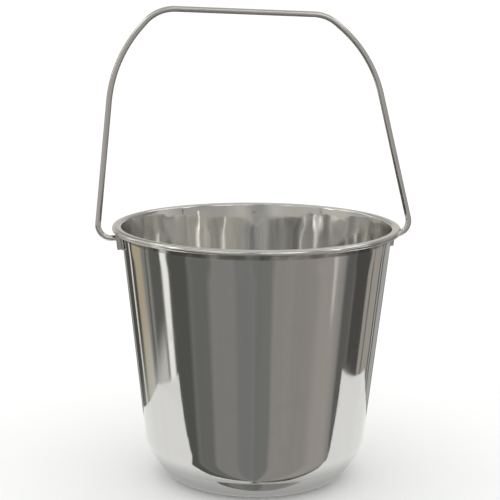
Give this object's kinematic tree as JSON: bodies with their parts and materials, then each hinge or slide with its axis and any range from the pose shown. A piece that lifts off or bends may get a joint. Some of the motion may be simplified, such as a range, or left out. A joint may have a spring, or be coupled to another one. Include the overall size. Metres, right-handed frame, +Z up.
{
  "type": "milking pail",
  "caption": "Open tapered stainless steel milking pail with a rolled rim, a stepped base and a swinging wire bail held in ears welded under the rim.",
  "frame": {"origin": "on the pail's axis, in the plane that it stands on", "axes": "+Z up along the pail's axis, +X towards the right ear, so the bail's pin line runs along X; Y is front to back"},
  "size_m": [0.3318, 0.3, 0.4921],
  "materials": {
    "polished_sheet": "machine-polished stainless sheet with fine vertical streaks",
    "pressed_sheet": "pressed stainless sheet, satin",
    "drawn_wire": "drawn stainless wire, satin with faint die lines"
  },
  "bodies": {
    "pail": {"pail_body": "polished_sheet", "left_ear": "pressed_sheet", "right_ear": "pressed_sheet"},
    "bail": {"bail": "drawn_wire"}
  },
  "joints": [
    {"name": "bail_swing", "type": "hinge", "parent": "pail", "child": "bail", "pos_m": [0, 0, 0.2556], "axis": [1, 0, 0], "range_deg": [-148, 148]}
  ]
}
